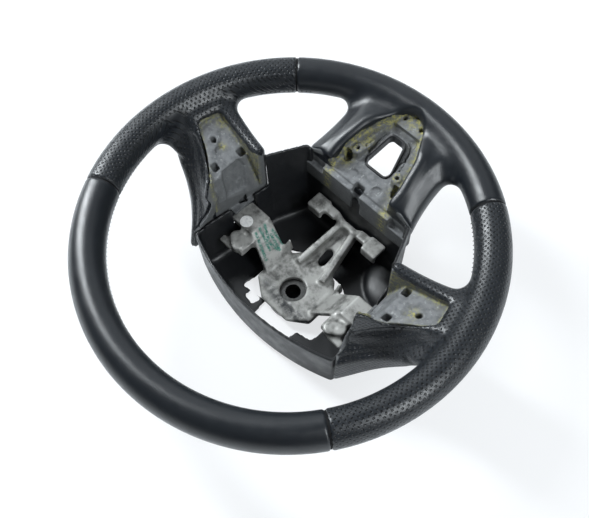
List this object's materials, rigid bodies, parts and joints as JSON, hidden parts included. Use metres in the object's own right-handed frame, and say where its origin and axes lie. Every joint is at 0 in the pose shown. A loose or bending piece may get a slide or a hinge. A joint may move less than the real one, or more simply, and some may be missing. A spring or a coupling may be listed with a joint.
{
  "type": "car steering wheel",
  "caption": "Leather-wrapped car steering wheel with its airbag module taken out, showing the cast hub with column bore, foam switch bays and deep plastic rear cover.",
  "frame": {"origin": "on the steering axis at the seat of the centre bolt, where the column bore opens", "axes": "+Z along the steering axis to the driver, +Y to twelve o'clock, +X to the driver's right"},
  "size_m": [0.378, 0.378, 0.1467],
  "materials": {
    "casting": "as cast magnesium alloy, stained",
    "steel": "plain steel",
    "foam": "grey polyurethane foam with dried glue",
    "smooth_leather": "smooth semi-gloss dark leather",
    "perforated_leather": "finely perforated dark leather",
    "cover_plastic": "fine grained black plastic",
    "sticker": "plain paper disc"
  },
  "bodies": {
    "root": {"armature": "casting", "hub_insert": "steel", "rim_ring": "steel", "foam_moulding": "foam", "leather_top": "smooth_leather", "leather_right": "perforated_leather", "leather_left": "perforated_leather", "leather_bottom": "smooth_leather", "rear_cover": "cover_plastic", "cover_floor": "cover_plastic", "cover_screws": "steel", "window_liner": "cover_plastic", "inspection_sticker": "sticker"}
  },
  "joints": []
}
